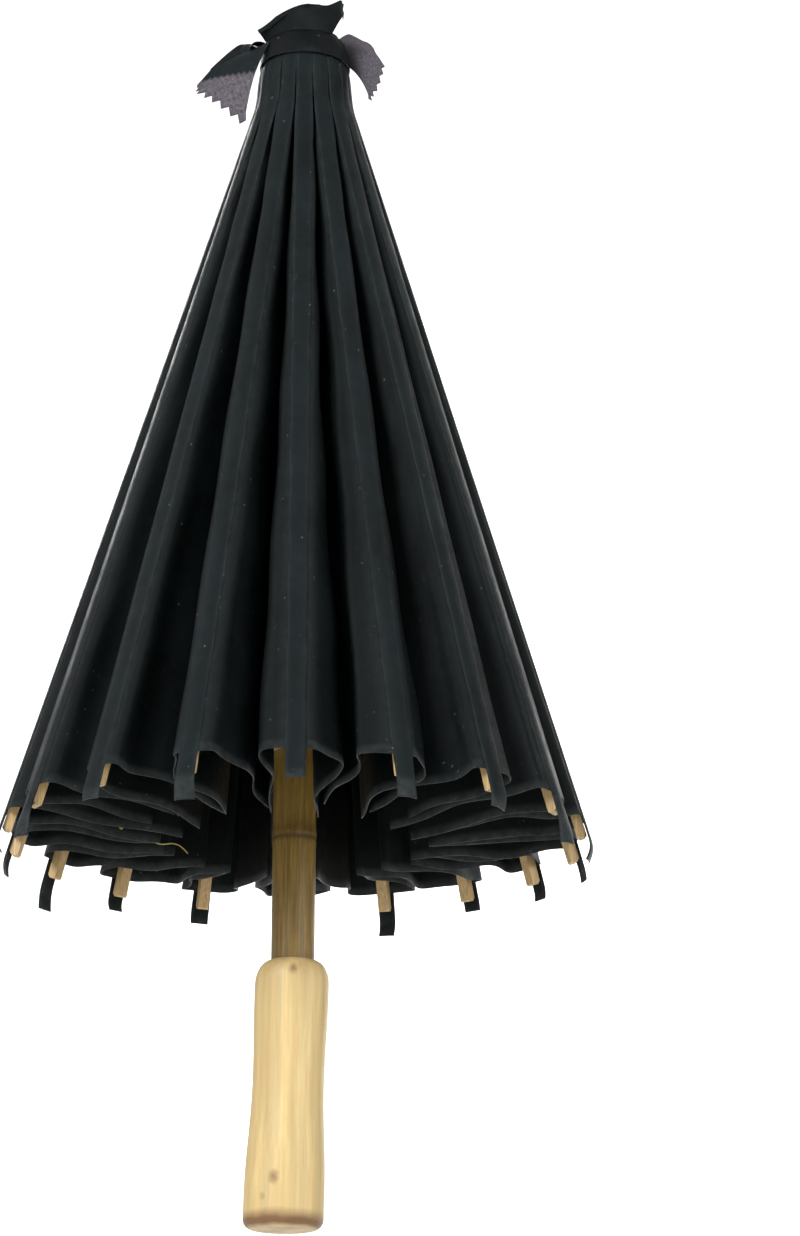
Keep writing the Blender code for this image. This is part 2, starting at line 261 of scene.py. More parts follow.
def new_group(name, inputs, outputs):
    tree = bpy.data.node_groups.new(name, "ShaderNodeTree")
    for label, kind, default in inputs:
        socket(tree, label, kind, "INPUT", default)
    for label, kind in outputs:
        socket(tree, label, kind, "OUTPUT")
    return tree, tree.nodes.new("NodeGroupInput"), tree.nodes.new("NodeGroupOutput")


def fill(tree, entry, value):
    """Links another node's output to an input, or sets the input's own value."""
    if isinstance(value, bpy.types.NodeSocket):
        tree.links.new(value, entry)
    else:
        entry.default_value = value


def add_node(tree, kind, values=None, **settings):
    """A node with its settings, and its inputs set from values or linked from sockets."""
    made = tree.nodes.new(kind)
    for name, value in settings.items():
        setattr(made, name, value)
    for name, value in (values or {}).items():
        fill(tree, made.inputs[name], value)
    return made


def noise(tree, vector, scale, detail=4.0, roughness=0.55):
    return add_node(tree, "ShaderNodeTexNoise", {
        "Vector": vector, "Scale": scale, "Detail": detail, "Roughness": roughness}).outputs["Fac"]


def stretched(tree, vector, scale, rotation=(0.0, 0.0, 0.0)):
    return add_node(tree, "ShaderNodeMapping", {
        "Vector": vector, "Scale": scale, "Rotation": rotation}).outputs["Vector"]


def between(tree, value, low, high, to_low=0.0, to_high=1.0):
    return add_node(tree, "ShaderNodeMapRange", {
        "Value": value, "From Min": low, "From Max": high,
        "To Min": to_low, "To Max": to_high}, clamp=True).outputs["Result"]


def math_node(tree, operation, first, second=0.0):
    made = add_node(tree, "ShaderNodeMath", {0: first, 1: second}, operation=operation)
    return made.outputs[0]


def times(tree, first, second):
    return math_node(tree, "MULTIPLY", first, second)


def mix_colours(tree, share, first, second):
    """Output 2 and inputs 0, 6 and 7 are the mix node's own colour sockets."""
    made = add_node(tree, "ShaderNodeMix", {0: share, 6: first, 7: second}, data_type="RGBA")
    return made.outputs[2]


def mottle_group():
    """Uneven staining: broad clouds and fine grime as one mask."""
    tree, start, end = new_group(
        "Mottle", [("Vector", "NodeSocketVector", None), ("Scale", "NodeSocketFloat", 60.0)],
        [("Mask", "NodeSocketFloat")])
    vector, scale = start.outputs["Vector"], start.outputs["Scale"]
    broad = noise(tree, vector, scale, 5.0, 0.5)
    fine = noise(tree, vector, times(tree, scale, 7.0), 3.0, 0.5)
    mixed = math_node(tree, "ADD", times(tree, broad, 0.65),
                      times(tree, fine, 0.35))
    tree.links.new(between(tree, mixed, 0.36, 0.66), end.inputs["Mask"])
    return tree


def speck_group():
    """Sparse pale flecks: painted highlight specks, as glints on the oiled surface."""
    tree, start, end = new_group(
        "Flecks", [("Vector", "NodeSocketVector", None), ("Scale", "NodeSocketFloat", 400.0),
                   ("Amount", "NodeSocketFloat", 0.70)], [("Mask", "NodeSocketFloat")])
    fleck = noise(tree, start.outputs["Vector"], start.outputs["Scale"], 2.0, 0.5)
    above = math_node(tree, "SUBTRACT", fleck, start.outputs["Amount"])
    tree.links.new(between(tree, above, 0.0, 0.05), end.inputs["Mask"])
    return tree


def weave_group():
    """Plain weave from two crossed waves over the cloth's own map."""
    tree, start, end = new_group(
        "Weave", [("Vector", "NodeSocketVector", None), ("Threads", "NodeSocketFloat", 300.0)],
        [("Height", "NodeSocketFloat")])
    waves = []
    for direction in ("X", "Y"):
        wave = add_node(tree, "ShaderNodeTexWave", {
            "Vector": start.outputs["Vector"], "Scale": start.outputs["Threads"],
            "Distortion": 0.6, "Detail": 1.0}, wave_type="BANDS", bands_direction=direction)
        waves.append(wave.outputs["Fac"])
    tree.links.new(math_node(tree, "MAXIMUM", *waves), end.inputs["Height"])
    return tree


def fibre_group():
    """Long fibres along Z, for wood and bamboo."""
    tree, start, end = new_group(
        "Fibres", [("Vector", "NodeSocketVector", None), ("Scale", "NodeSocketFloat", 1.0),
                   ("Slant", "NodeSocketFloat", 0.0)], [("Mask", "NodeSocketFloat")])
    turn = add_node(tree, "ShaderNodeCombineXYZ", {"Y": start.outputs["Slant"]})
    mapped = stretched(tree, start.outputs["Vector"], (1.0, 1.0, 0.035), turn.outputs["Vector"])
    scale = times(tree, start.outputs["Scale"], 900.0)
    grain = noise(tree, mapped, scale, 6.0, 0.6)
    tree.links.new(between(tree, grain, 0.34, 0.68), end.inputs["Mask"])
    return tree


def group(name, builder):
    return bpy.data.node_groups.get(name) or builder()


def use_group(tree, name, builder, **values):
    return add_node(tree, "ShaderNodeGroup", values, node_tree=group(name, builder))


def new_material(name):
    made = bpy.data.materials.new(name)
    made.use_nodes = True
    return made, made.node_tree, made.node_tree.nodes["Principled BSDF"]


def bump(tree, shader, height, strength, distance):
    made = add_node(tree, "ShaderNodeBump", {
        "Height": height, "Strength": strength, "Distance": distance})
    tree.links.new(made.outputs["Normal"], shader.inputs["Normal"])


def surface(tree, shader, colour, rough):
    fill(tree, shader.inputs["Base Color"], colour)
    fill(tree, shader.inputs["Roughness"], rough)


def rgba(colour, factor=1.0):
    return (*(min(1.0, c * factor) for c in colour), 1.0)


def oiled_cloth_material(name, lift=1.0):
    """Dark oiled cloth: semi-gloss, clouded, with wear along the hems and fine creases; its pale
    flecks are painted highlight specks, and on the strips' tabs the same lighter colour is painted
    light.
    """
    made, tree, shader = new_material(name)
    where = add_node(tree, "ShaderNodeTexCoord").outputs
    cloud = use_group(tree, "Mottle", mottle_group, Vector=where["Object"], Scale=26.0)
    fleck = use_group(tree, "Flecks", speck_group,
                      Vector=where["Object"], Scale=520.0, Amount=0.735)
    weave = use_group(tree, "Weave", weave_group, Vector=where["UV"], Threads=260.0)
    # This attribute holds wear on hems and edges and, on the strips' tabs, painted light.
    marks_and_painted_light = add_node(tree, "ShaderNodeAttribute", attribute_name="marks_and_painted_light").outputs["Fac"]
    ragged = times(tree, marks_and_painted_light, between(
        tree, noise(tree, where["Object"], 240.0), 0.25, 0.6, 0.25, 1.0))
    base = mix_colours(tree, cloud.outputs["Mask"], rgba(colours().cloth, 0.75 * lift),
                       rgba(colours().cloth, 1.7 * lift))
    # Mixes in the lighter colour: wear on hems and edges, and painted light on the strips' tabs.
    rubbed_and_painted_light = mix_colours(tree, ragged, base, rgba(colours().wear_and_painted_light_colour))
    # Painted highlight: pale specks mixed over the cloth.
    flecked = mix_colours(tree, times(tree, fleck.outputs["Mask"], 0.5),
                          rubbed_and_painted_light, (0.32, 0.33, 0.31, 1.0))
    rough = between(tree, noise(tree, where["Object"], 70.0), 0.3, 0.7, 0.34, 0.52)
    surface(tree, shader, flecked, rough)
    crease = noise(tree, stretched(tree, where["UV"], (1.0, 0.35, 1.0)), 22.0, 6.0, 0.6)
    height = math_node(tree, "ADD", crease,
                       times(tree, weave.outputs["Height"], 0.10))
    bump(tree, shader, height, 0.55, 0.0016)
    shader.inputs["Specular IOR Level"].default_value = 0.14
    return made


def flap_material():
    """Head cloth whose reverse, where it shows, is a grey-violet open weave."""
    made = oiled_cloth_material("head_flap_cloth", 1.6)
    tree, shader = made.node_tree, made.node_tree.nodes["Principled BSDF"]
    where = add_node(tree, "ShaderNodeTexCoord").outputs
    reverse = add_node(tree, "ShaderNodeAttribute", attribute_name="reverse").outputs["Fac"]
    thread = noise(tree, stretched(tree, where["UV"], (1.0, 0.12, 1.0)), 900.0, 3.0)
    cross = noise(tree, stretched(tree, where["UV"], (0.12, 1.0, 1.0)), 900.0, 3.0)
    woven = between(tree, math_node(tree, "ADD", thread, cross), 0.75, 1.25)
    grey = mix_colours(tree, woven, (0.018, 0.016, 0.020, 1.0), (0.20, 0.18, 0.21, 1.0))
    front = shader.inputs["Base Color"].links[0].from_socket
    tree.links.new(mix_colours(tree, reverse, front, grey), shader.inputs["Base Color"])
    return made


def pine_material():
    """Oiled pine: slanting grain, small knots and a scorched ring above the foot."""
    made, tree, shader = new_material("pine_wood")
    where = add_node(tree, "ShaderNodeTexCoord").outputs["Object"]
    broad = use_group(tree, "Fibres", fibre_group, Vector=where, Scale=0.22, Slant=0.20)
    fine = use_group(tree, "Fibres", fibre_group, Vector=where, Scale=0.9, Slant=0.16)
    cloud = use_group(tree, "Mottle", mottle_group, Vector=where, Scale=30.0)
    pine = colours().pine
    base = mix_colours(tree, broad.outputs["Mask"], rgba(pine, 0.74), rgba(pine, 1.15))
    base = mix_colours(tree, times(tree, fine.outputs["Mask"], 0.45), base,
                       (0.60, 0.34, 0.15, 1.0))
    base = mix_colours(tree, times(tree, cloud.outputs["Mask"], 0.25), base,
                       (0.70, 0.44, 0.22, 1.0))
    for place, size in (((0.0029, -0.0156, 0.1150), 0.0022), ((-0.0042, -0.0172, 0.0210), 0.0029),
                        ((-0.0088, -0.0158, 0.0125), 0.0022), ((0.0120, 0.0110, 0.0700), 0.0032)):
        knot = knot_mask(tree, where, place, size)
        base = mix_colours(tree, knot, base, (0.20, 0.085, 0.030, 1.0))
    base = mix_colours(tree, scorch_mask(tree, where), base, (0.13, 0.045, 0.014, 1.0))
    surface(tree, shader, base, between(tree, fine.outputs["Mask"], 0.0, 1.0, 0.38, 0.52))
    bump(tree, shader, fine.outputs["Mask"], 0.25, 0.0004)
    return made


def knot_mask(tree, where, place, size):
    """An oval spot round a place on the surface, soft at its edge."""
    off = add_node(tree, "ShaderNodeVectorMath", {0: where, 1: place}, operation="SUBTRACT")
    flat = stretched(tree, off.outputs[0], (1.0, 1.0, 0.7))
    length = add_node(tree, "ShaderNodeVectorMath", {0: flat}, operation="LENGTH")
    ragged = math_node(tree, "ADD", length.outputs["Value"], math_node(
        tree, "MULTIPLY", noise(tree, where, 500.0), size * 0.5))
    return between(tree, ragged, size * 0.5, size * 1.35, 0.85, 0.0)


def scorch_mask(tree, where):
    """A burnt ring that fades up and down from the rounded edge of the foot."""
    height = add_node(tree, "ShaderNodeSeparateXYZ", {"Vector": where}).outputs["Z"]
    wavy = math_node(tree, "ADD", height, math_node(
        tree, "MULTIPLY", noise(tree, where, 90.0), 0.003))
    above = between(tree, wavy, 0.0045, 0.0095, 1.0, 0.0)
    below = between(tree, wavy, 0.0008, 0.0026, 0.0, 1.0)
    return times(tree, times(tree, above, below), 0.85)


def bamboo_pole_material():
    """Varnished brown bamboo with fine long fibres and darker nodes."""
    made, tree, shader = new_material("bamboo_skin")
    where = add_node(tree, "ShaderNodeTexCoord").outputs["Object"]
    fibre = use_group(tree, "Fibres", fibre_group, Vector=where, Scale=1.1, Slant=0.0)
    cloud = use_group(tree, "Mottle", mottle_group, Vector=where, Scale=38.0)
    skin = colours().bamboo_skin
    base = mix_colours(tree, fibre.outputs["Mask"], rgba(skin, 0.55), rgba(skin, 1.35))
    base = mix_colours(tree, times(tree, cloud.outputs["Mask"], 0.5), base,
                       rgba(skin, 0.5))
    scar = add_node(tree, "ShaderNodeAttribute", attribute_name="marks_and_painted_light").outputs["Fac"]
    base = mix_colours(tree, scar, base, (0.05, 0.022, 0.009, 1.0))
    surface(tree, shader, base, between(tree, fibre.outputs["Mask"], 0.0, 1.0, 0.30, 0.46))
    bump(tree, shader, fibre.outputs["Mask"], 0.3, 0.0004)
    return made


def split_bamboo_material(name="split_bamboo", factor=1.0):
    """Pale split bamboo with straight fibres."""
    made, tree, shader = new_material(name)
    where = add_node(tree, "ShaderNodeTexCoord").outputs["Object"]
    fibre = use_group(tree, "Fibres", fibre_group, Vector=where, Scale=1.2, Slant=0.0)
    cloud = use_group(tree, "Mottle", mottle_group, Vector=where, Scale=45.0)
    pale = colours().split_bamboo
    base = mix_colours(tree, fibre.outputs["Mask"], rgba(pale, 0.62 * factor),
                       rgba(pale, 1.15 * factor))
    base = mix_colours(tree, times(tree, cloud.outputs["Mask"], 0.4), base,
                       rgba(pale, 0.6 * factor))
    surface(tree, shader, base, between(tree, cloud.outputs["Mask"], 0.0, 1.0, 0.42, 0.60))
    bump(tree, shader, fibre.outputs["Mask"], 0.3, 0.0003)
    return made


def thread_material(name, colour):
    """Waxed thread with a twist along its own map."""
    made, tree, shader = new_material(name)
    where = add_node(tree, "ShaderNodeTexCoord").outputs
    twist = add_node(tree, "ShaderNodeTexWave", {
        "Vector": stretched(tree, where["UV"], (1.0, 1.0, 1.0), (0.0, 0.0, 0.7)), "Scale": 60.0},
        wave_type="BANDS")
    base = mix_colours(tree, twist.outputs["Fac"], rgba(colour, 0.55), rgba(colour, 1.1))
    surface(tree, shader, base, 0.6)
    bump(tree, shader, twist.outputs["Fac"], 0.4, 0.0003)
    return made


def kept(name, builder, *arguments):
    return bpy.data.materials.get(name) or builder(*arguments)


def kept_cloth(name, lift=1.0):
    return kept(name, oiled_cloth_material, name, lift)


# ---------------------------------------------------------------- shape of the cloth

SEAM_LAP = 0.0011  # how far a wall runs past the valley, to lap its neighbour
CLOTH_TOP = 0.012  # where the pleats start, down the rib
HEM_SHORT = 0.0085  # how far the hem stops short of the rib's tip
HEM_WAVER = 0.0012
PLATEAU = 0.0036  # half width of the flat over the rib
SWING = 0.0062  # how far a folded wall curls near the rim
FINE_WAVE = 0.0008
STANDOFF = 0.0026  # least distance of a wall from the rib's middle plane
CLOTH_LIFT = 0.0005  # middle of the cloth above the rib's face
STRIP_LIFT = 0.0012  # middle of the strip above the rib's face
STRIP_RISE = 0.0037  # its extra lift over the notch
STRIP_TOP, STRIP_EASE = 0.003, 0.027  # where that lift starts and how far it eases out
STRIP_THICKNESS = 0.0006
SWAY = math.radians(1.3)


def rib_frame(label):
    """The notch pivot and the rib's down, outward and sideways directions at rest."""
    hinge, fold = JOINTS["rib_hinge_" + label], JOINTS["panel_fold_" + label]
    down = np.array(fold["axis"])
    side = -np.array(hinge["axis"])
    out = np.cross(down, side)
    return np.array(hinge["pos_m"]), down, out, side


def ridge_radius(down, lean):
    """Distance of a rib's outer face from the pole's axis, at a distance down the rib."""
    return PIVOT_RADIUS + down * math.sin(lean) + FACE * math.cos(lean)


def wall_width(down, half_gore):
    """Width of cloth from ridge to valley: at full opening it lies flat, so the width is
    radius x tan(half gore) / (sin b + cos b cos(lean) tan(half gore)), with b the wall's
    angle from the rib's inner side, tan b = 1 / (cos(lean) tan(half gore))."""
    spread = np.tan(half_gore)
    b = np.arctan2(1.0, math.cos(OPEN_LEAN) * spread)
    return ridge_radius(down, OPEN_LEAN) * spread / (
        np.sin(b) + np.cos(b) * math.cos(OPEN_LEAN) * spread)


def wall_angle(down, half_gore, lean):
    """Angle of the folded wall from the rib's inner side: the valley lies on the plane
    between two ribs where width (sin b + cos b q) = radius x tan(half gore),
    with q = cos(lean) tan(half gore)."""
    q = math.cos(lean) * np.tan(half_gore)
    reach = ridge_radius(down, lean) * np.tan(half_gore) / (
        wall_width(down, half_gore) * np.sqrt(1 + q * q))
    return np.arcsin(np.clip(reach, -1.0, 1.0)) - np.arctan(q)


def smooth(t):
    t = np.clip(t, 0.0, 1.0)
    return t * t * (3 - 2 * t)


class PleatStyle:
    """How one pleat's two walls belly and wave; seeded by the pleat's number."""

    def __init__(self, number):
        draw = np.random.default_rng(100 + number)
        self.belly = draw.uniform(0.55, 1.15, 2)
        self.swing = draw.choice([-1.0, 1.0], 2) * draw.uniform(0.5, 1.1, 2)
        self.phase = draw.uniform(0, math.tau, 2)
        self.ripple = draw.uniform(0.6, 1.3, 2)
        self.turn = draw.uniform(0.0, 1.0, 2)


def valley_sway(number):
    """Small turn of a valley off the middle of its gore, the same for both its walls."""
    k = number % len(RIBS)
    return SWAY * math.sin(2.4 * k + 0.7) * math.cos(1.1 * k)


def wall(number, side, rows, columns):
    """One wall of a pleat in the rib's own frame, as down, depth and sideways arrays.

    From the flat over the rib the wall drops to the valley: depth = width x cos b x d(v), with
    d(v) = v^1.5 so that the cloth leaves the rib flat, and
    sideways = plateau + (width x sin b - plateau) v + shoulder sin(pi v^0.62) (1 - v)^0.6
    + swing sin(pi (2.4 v + turn)) sin(pi v), both growing towards the rim and kept inside
    the half gore by a soft limit."""
    style = PleatStyle(number)
    sway = valley_sway(number) if side > 0 else -valley_sway(number - 1)
    half_gore = RIB_STEP / 2 + sway
    k = 0 if side > 0 else 1
    v = np.linspace(0.0, 1.0, columns)[None, :]
    bow = np.sin(math.pi * v)
    last = RIB_TIP - HEM_SHORT - sizes().hem_rise * v ** 1.5
    last = last + HEM_WAVER * np.sin(9 * v + style.phase[k]) * bow
    down = CLOTH_TOP + (last - CLOTH_TOP) * np.linspace(0.0, 1.0, rows)[:, None]
    width, angle = wall_width(down, half_gore), wall_angle(down, half_gore, REST_LEAN)
    width = width + SEAM_LAP * smooth(v * 3 - 2)
    plateau = np.minimum(PLATEAU, 0.55 * ridge_radius(down, REST_LEAN) * math.tan(RIB_STEP / 2))
    growth = (down / RIB_TIP) ** 1.1
    late = smooth((down / RIB_TIP - 0.35) / 0.65) ** 1.5
    shoulder = sizes().slack * style.belly[k] * np.sin(math.pi * v ** 0.62) * (1 - v) ** 0.6
    swing = SWING * style.swing[k] * np.sin(math.pi * (2.4 * v + style.turn[k])) * bow
    wave = FINE_WAVE * style.ripple[k] * np.sin(down * 75 + style.phase[k] + 2.5 * v) * bow
    depth = width * np.cos(angle) * v ** 1.5
    sideways = (plateau + (width * np.sin(angle) - plateau) * v + shoulder * growth
                + swing * late + wave)
    room = (ridge_radius(down, REST_LEAN) - depth * math.cos(REST_LEAN)) * math.tan(half_gore)
    least = STANDOFF * np.minimum(1.0, v * 6) * (down > 0.05)
    return down, depth, soft_limit(sideways, least, room)


def soft_limit(values, low, high):
    """Keeps values between two limits, easing over the last tenth of the way to the upper one."""
    knee = 0.9 * high
    over = np.maximum(values - knee, 0.0)
    last = high - knee
    eased = np.where(values > knee, knee + last * np.tanh(over / (last + 1e-9)), values)
    return np.maximum(eased, low)


def unfold_share(depth, sideways):
    """Share of the panel's turn that each point needs to lie flat at full opening."""
    now = np.arctan2(np.abs(sideways), np.maximum(depth, 0.0))
    flat = np.arctan2(1.0, math.cos(OPEN_LEAN) * math.tan(RIB_STEP / 2))
    return np.clip((flat - now) / UNFOLD, 0.0, 1.1)


def pleat(label):
    """One pleat of cloth: valley, ridge over the rib, and the next valley."""
    number = int(label)
    rows, columns = 84, 20
    down, depth, sideways = wall(number, 1, rows, columns)
    left_down, left_depth, left_sideways = wall(number, -1, rows, columns)
    down = np.concatenate([left_down[:, ::-1], down[:, :1], down], 1)
    depth = np.concatenate([left_depth[:, ::-1], 0 * depth[:, :1], depth], 1)
    middle = 0 * sideways[:, :1]
    turn = np.concatenate([-unfold_share(left_depth, left_sideways)[:, ::-1], middle,
                           unfold_share(depth[:, columns + 1:], sideways)], 1)
    sideways = np.concatenate([-left_sideways[:, ::-1], middle, sideways], 1)
    pivot, along, out, side = rib_frame(label)
    points = (pivot + down[..., None] * along + (FACE + CLOTH_LIFT - depth)[..., None] * out
              + sideways[..., None] * side)
    across = np.cumsum(np.hypot(np.diff(depth, axis=1, prepend=depth[:, :1]),
                                np.diff(sideways, axis=1, prepend=sideways[:, :1])), 1)
    piece = mesh_piece("canopy_pleat_" + label, points, grid_faces(rows, 2 * columns + 1),
                       np.stack([across * 4, down * 4], -1))
    hem = smooth(1 - (down[-1:] - down) / 0.0022)
    ridge = np.exp(-((np.abs(sideways) - 0.0040) / 0.0012) ** 2) * (depth < 0.004) * 0.4
    paint(piece, "marks_and_painted_light", np.clip(hem * 0.9 + ridge, 0, 1))
    paint(piece, "turn", turn)
    return piece, points


def bend_with_panel(piece):
    """Bakes the pleat's placement into its mesh and reads each point's share of the panel's turn."""
    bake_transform(piece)
    turn = np.zeros(len(piece.data.vertices), np.float32)
    piece.data.attributes["turn"].data.foreach_get("value", turn)


def make_pleats():
    cloth = kept_cloth("pleat_cloth")
    for label in RIBS:
        piece, points = pleat(label)
        piece.data.materials.append(cloth)
        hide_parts("canopy_panel_" + label)
        thicken(piece, sizes().cloth_thickness)
        bend_with_panel(piece)


# ---------------------------------------------------------------- strips over the ribs

def strip_path(number):
    """The strip's centre line as down and outward distances, and its random draws.

    It starts over the notch, lies on the cloth along the rib, and past the tip bends by an
    angle that grows as smooth(t), each step going cos(angle) down and sin(angle) inward."""
    draw = np.random.default_rng(500 + number)
    along = np.concatenate([np.linspace(STRIP_TOP, 0.030, 12),
                            np.linspace(0.036, RIB_TIP + 0.0005, 42)])
    out = FACE + STRIP_LIFT + STRIP_RISE * (1 - smooth((along - STRIP_TOP) / STRIP_EASE))
    steps = 14
    t = np.linspace(0.0, 1.0, steps)
    bend = math.radians(draw.uniform(4, 42)) * smooth(t)
    length = sizes().tab_length * draw.uniform(0.35, 1.25)
    down = along[-1] + np.cumsum(np.cos(bend)) * length / steps
    inward = out[-1] - np.cumsum(np.sin(bend)) * length / steps
    return np.concatenate([along, down]), np.concatenate([out, inward]), draw


def cover_strip(label):
    """A flat strip with a slight crown and uneven edges; its tab hangs past the tip and is coloured
    lighter as painted light on its shaded underside.
    """
    down, outward, draw = strip_path(int(label))
    columns = 9
    c = np.linspace(-1.0, 1.0, columns)[None, :]
    over = (outward - FACE) * math.cos(REST_LEAN)
    room = 0.92 * (ridge_radius(down, REST_LEAN) + over) * math.tan(RIB_STEP / 2)
    half = np.minimum(sizes().strip_width / 2, room)[:, None]
    ragged = 1 + 0.05 * np.sin(down[:, None] * 160 + draw.uniform(0, 6)) * np.abs(c)
    sideways = half * c * ragged
    past = smooth((down[:, None] - RIB_TIP) / 0.02)
    twist = draw.uniform(-0.6, 0.6) * past
    crown = outward[:, None] - 0.0007 * c ** 2 + twist * sideways
    pivot, along, out, side = rib_frame(label)
    points = (pivot + down[:, None, None] * along + crown[..., None] * out
              + sideways[..., None] * side)
    piece = mesh_piece("cover_strip_" + label, points, grid_faces(len(down), columns),
                       4 * np.stack(np.broadcast_arrays(sideways, down[:, None]), -1))
    edge = np.abs(c) ** 5 * (0.35 + 0.4 * draw.random(len(down))[:, None])
    # Lighter over the last 2.5 mm as wear at the cut end; past the rib's tip the whole tab is
    # coloured lighter as painted light on its shaded underside.
    end = smooth(1 - (down[-1] - down[:, None]) / 0.0025) * 0.4 + 0.8 * smooth(past * 4)
    paint(piece, "marks_and_painted_light", np.clip(np.broadcast_to(edge + end, sideways.shape), 0, 1))
    return piece, points


def make_strips():
    cloth = kept_cloth("strip_cloth", 1.7)
    for label in RIBS:
        piece, points = cover_strip(label)
        finish_piece(piece, "rib_" + label, cloth)
        thicken(piece, STRIP_THICKNESS)


# ---------------------------------------------------------------- head cloth and its tie

TIE_HEIGHT = NOTCH_TOP + 0.0035
TIE_RADIUS = 0.0205
TIE_WIDTH = 0.0130
SKIRT_SHARE = 0.45  # of the way from the cover's lower edge to its top
HEAD_CLOTH_LIFT = 1.1

# Loose flaps above the tie: where each leaves the tie, in degrees round the pole, and the
# corners of its cut edge as degrees, radius and height above the tie.
FLAPS = {
    "left": ((178, 226), ((186, 0.036, 0.001), (194, 0.055, -0.026), (196, 0.0545, -0.028),
                          (204, 0.043, -0.040), (216, 0.034, -0.050))),
    "right": ((338, 404), ((398, 0.027, 0.008), (376, 0.037, 0.002), (366, 0.0395, -0.012),
                           (362, 0.038, -0.024), (356, 0.034, -0.034))),
    "upper": ((204, 322), ((214, 0.026, 0.004), (250, 0.024, 0.0070), (285, 0.0225, 0.0115),
                           (318, 0.0215, 0.0165), (342, 0.0215, 0.0225), (346, 0.0205, 0.0115))),
    "back": ((60, 130), ((58, 0.030, 0.004), (84, 0.050, -0.010), (98, 0.056, -0.026),
                         (112, 0.047, -0.030), (128, 0.034, -0.030))),
    "ruffle": ((160, 205), ((158, 0.025, 0.010), (176, 0.031, 0.004), (190, 0.033, -0.004),
                            (204, 0.029, -0.008))),
}


def round_place(degrees, radius, height):
    """A place given by its angle round the pole, its radius and its height."""
    return around(np.radians(degrees), radius, height)


def flap_points(attach, corners, rows, columns, seed):
    """A ruled cloth: from the arc on the tie straight to the cut edge through its corners,
    plus a belly of sin(pi v) and folds of v sin(11 u + seed). Its edge is pinked: the share of
    the way is cut by the zigzag |22 u mod 2 - 1|."""
    u = np.linspace(0.0, 1.0, columns)[None, :]
    v = np.linspace(0.0, 1.0, rows)[:, None]
    corner = np.array(corners, float)
    spots = round_place(corner[:, 0], corner[:, 1], TIE_HEIGHT + corner[:, 2])
    stations = np.linspace(0.0, 1.0, len(spots))
    edge = np.stack([np.interp(u[0], stations, spots[:, k]) for k in range(3)], -1)
    start = round_place(np.linspace(*attach, columns), TIE_RADIUS - 0.001, TIE_HEIGHT)
    pinks = 1 - 0.075 * np.abs((u * 22) % 2 - 1) * smooth((v - 0.86) / 0.14)
    share = (v * pinks)[..., None]
    points = start[None] + share * (edge - start)[None]
    belly = 0.0045 * np.sin(math.pi * v) + 0.0016 * v * np.sin(11 * u + seed)
    outward = round_place(np.linspace(*attach, columns), 1.0, 0.0)
    points = points + belly[..., None] * (0.55 * outward[None] + np.array([0.0, 0.0, 0.8]))
    return points


def head_cover_points(rows, columns):
    """The tied part of the cloth: a skirt over the notch, fluted over the ribs with
    cos(ribs x a), that closes in to the tie, then a dome over the pole's top. Radius and
    height follow the share t."""
    a = np.arange(columns)[None, :] * math.tau / columns
    t = np.linspace(0.0, 1.0, rows)[:, None]
    skirt = np.clip(t / SKIRT_SHARE, 0, 1)
    dome = np.clip((t - SKIRT_SHARE) / (1 - SKIRT_SHARE), 0, 1)
    bottom = NOTCH_TOP - 0.0245
    radius = np.where(t < SKIRT_SHARE, 0.0212 - 0.0022 * skirt,
                      0.0190 * np.cos(dome * math.pi / 2) ** 0.7)
    height = np.where(t < SKIRT_SHARE, bottom + (TIE_HEIGHT - bottom) * skirt,
                      TIE_HEIGHT + (POLE_TOP + 0.006 - TIE_HEIGHT) * np.sin(dome * math.pi / 2))
    gathers = 0.0005 * np.cos(len(RIBS) * a) * (1 - smooth(skirt * 1.3)) * (t < SKIRT_SHARE)
    gathers = gathers + 0.0007 * np.sin(9 * a + 2 * np.sin(2 * a)) * np.sin(dome * math.pi)
    return around(a, np.maximum(radius + gathers, 0.0), height)


def flatten_when_open(piece):
    """Gives the piece its own copy of its mesh."""
    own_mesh(piece)


def make_head_cover():
    cloth = kept_cloth("head_cloth_weave", HEAD_CLOTH_LIFT)
    columns, rows = 144, 40
    points = head_cover_points(rows, columns)
    where = np.stack(np.broadcast_arrays(np.arange(columns)[None, :] / columns * 0.5,
                                         np.arange(rows)[:, None] / rows * 0.3), -1)
    piece = mesh_piece("head_cover", points, grid_faces(rows, columns, wrap=True), where)
    rim = np.zeros(points.shape[:2])
    rim[0] = 0.7
    paint(piece, "marks_and_painted_light", rim)
    finish_piece(piece, ROOT, cloth)
    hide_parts("cap_cloth")
    merge_ends(piece)
    thicken(piece, 0.0005, 1.0)
    flatten_when_open(piece)


def make_flaps():
    dark = kept_cloth("head_cloth_weave", HEAD_CLOTH_LIFT)
    rows, columns = 26, 133
    for number, (name, (attach, corners)) in enumerate(FLAPS.items()):
        points = flap_points(attach, corners, rows, columns, 1.9 * number)
        where = np.stack(np.meshgrid(np.linspace(0, 0.2, columns), np.linspace(0, 0.16, rows)), -1)
        piece = mesh_piece("head_flap_" + name, points, grid_faces(rows, columns), where)
        reverse = np.zeros((rows, columns))
        if name == "right":
            reverse[:, :] = 1.0
        if name == "left":
            reverse[:] = smooth((TIE_HEIGHT - 0.0205 - points[..., 2]) / 0.0006)
        paint(piece, "reverse", reverse)
        edge = np.zeros((rows, columns))
        edge[-1] = 0.6
        paint(piece, "marks_and_painted_light", edge)
        cloth = kept("head_flap_cloth", flap_material)
        finish_piece(piece, ROOT, cloth if name in ("left", "right") else dark)
        thicken(piece, 0.0004)
        flatten_when_open(piece)


